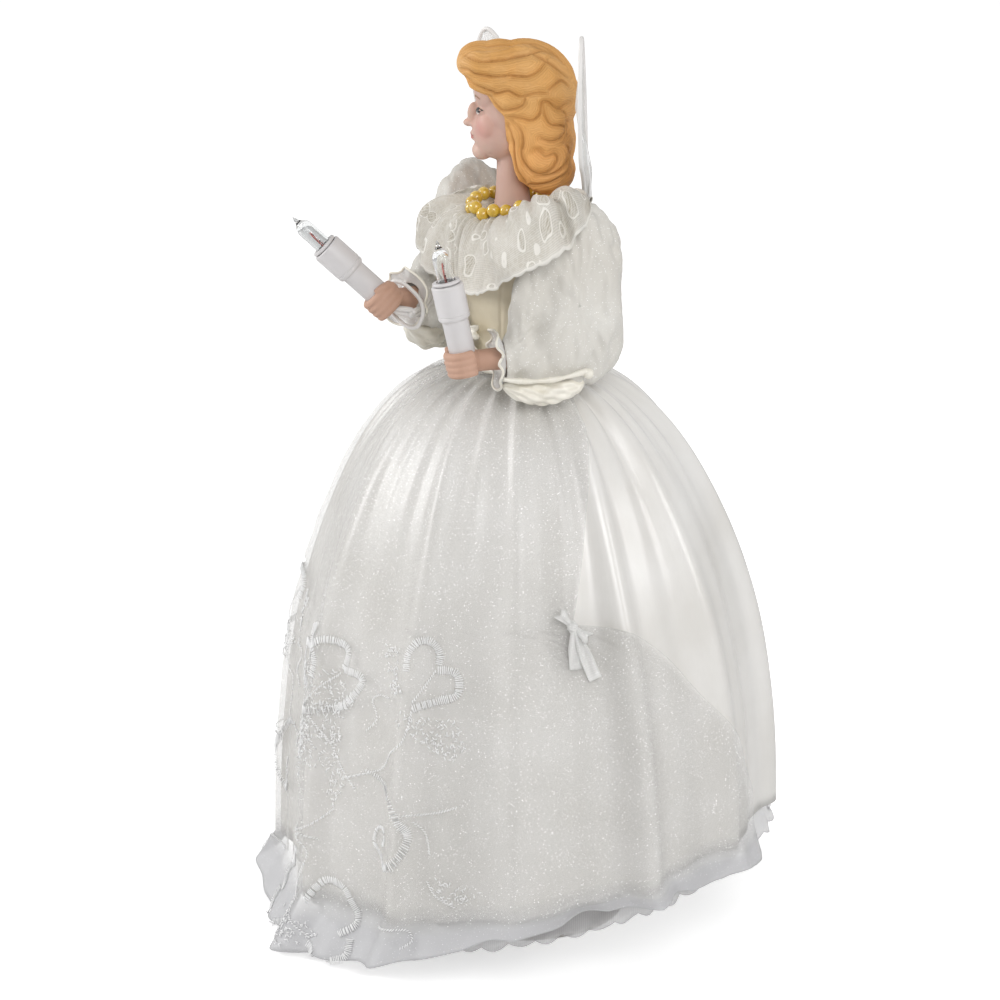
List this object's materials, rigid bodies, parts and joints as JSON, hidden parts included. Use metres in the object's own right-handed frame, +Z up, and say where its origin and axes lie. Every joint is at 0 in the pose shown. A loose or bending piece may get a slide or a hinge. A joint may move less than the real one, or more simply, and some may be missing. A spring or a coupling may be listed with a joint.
{
  "type": "lighted angel tree topper",
  "caption": "Lighted angel tree topper: bisque doll in a satin and organza gown over a hollow cone, with miniature lamps in its hands, posable arms and folding wings.",
  "frame": {"origin": "centre of the gown and of the cone, on the surface that the cone's rim rests on", "axes": "+Z up through the head, the figure faces -Y and its left hand is toward +X"},
  "size_m": [0.1538, 0.1558, 0.266],
  "materials": {
    "bisque": "matt painted bisque: skin, hair, eyes and lips",
    "satin": "ivory satin with a soft sheen",
    "organza": "sheer ivory organza with glitter and embroidery",
    "lace": "openwork cream lace",
    "net": "stiff net with a lace edge",
    "stuffing": "stuffed muslin",
    "pearl": "pearlescent yellow cream beads",
    "plastic": "moulded white plastic",
    "card": "rolled card cone",
    "glass": "clear lamp glass",
    "filament": "coppered lamp leads",
    "wire": "soft steel craft wire",
    "insulation": "white wire insulation"
  },
  "bodies": {
    "gown": {"tree_cone": "card", "cord_gland": "plastic", "torso_core": "stuffing", "shoulder_wire": "wire", "lead_harness": "insulation", "bust": "bisque", "bodice": "satin", "waist_sash": "satin", "chest_bow": "satin", "lace_collar": "lace", "pearl_necklace": "pearl", "satin_skirt": "satin", "net_petticoat": "net", "organza_overskirt": "organza", "left_swag_tie": "organza", "right_swag_tie": "organza", "wing_bracket": "plastic"},
    "left_wing": {"left_wing_frame": "wire", "left_wing_panel": "organza"},
    "right_wing": {"right_wing_frame": "wire", "right_wing_panel": "organza"},
    "left_arm": {"left_upper_arm": "stuffing", "left_forearm_hand": "bisque", "left_lamp_lead": "insulation", "left_sleeve": "organza", "left_cuff_frill": "organza", "left_cuff_bow": "satin", "left_lamp_socket": "plastic"},
    "right_arm": {"right_upper_arm": "stuffing", "right_forearm_hand": "bisque", "right_lamp_lead": "insulation", "right_sleeve": "organza", "right_cuff_frill": "organza", "right_cuff_bow": "satin", "right_lead_tie": "insulation", "right_lamp_socket": "plastic"},
    "left_bulb": {"left_bulb_base": "plastic", "left_bulb_glass": "glass", "left_bulb_filament": "filament"},
    "right_bulb": {"right_bulb_base": "plastic", "right_bulb_glass": "glass", "right_bulb_filament": "filament"}
  },
  "joints": [
    {"name": "left_shoulder", "type": "hinge", "parent": "gown", "child": "left_arm", "pos_m": [0.029, 0, 0.206], "axis": [-1, 0, 0], "range_deg": [-6, 24]},
    {"name": "right_shoulder", "type": "hinge", "parent": "gown", "child": "right_arm", "pos_m": [-0.029, 0, 0.206], "axis": [-1, 0, 0], "range_deg": [-6, 24]},
    {"name": "left_wing_fold", "type": "hinge", "parent": "gown", "child": "left_wing", "pos_m": [0.0045, 0.0196, 0.197], "axis": [0, 0, 1], "range_deg": [0, 50]},
    {"name": "right_wing_fold", "type": "hinge", "parent": "gown", "child": "right_wing", "pos_m": [-0.0045, 0.0196, 0.197], "axis": [0, 0, -1], "range_deg": [0, 50]},
    {"name": "left_bulb_pull", "type": "slide", "parent": "left_arm", "child": "left_bulb", "axis": [-0.1001, -0.1901, 0.9766], "range_m": [0, 0.015]},
    {"name": "right_bulb_pull", "type": "slide", "parent": "right_arm", "child": "right_bulb", "axis": [-0.343, -0.648, 0.68], "range_m": [0, 0.015]}
  ]
}
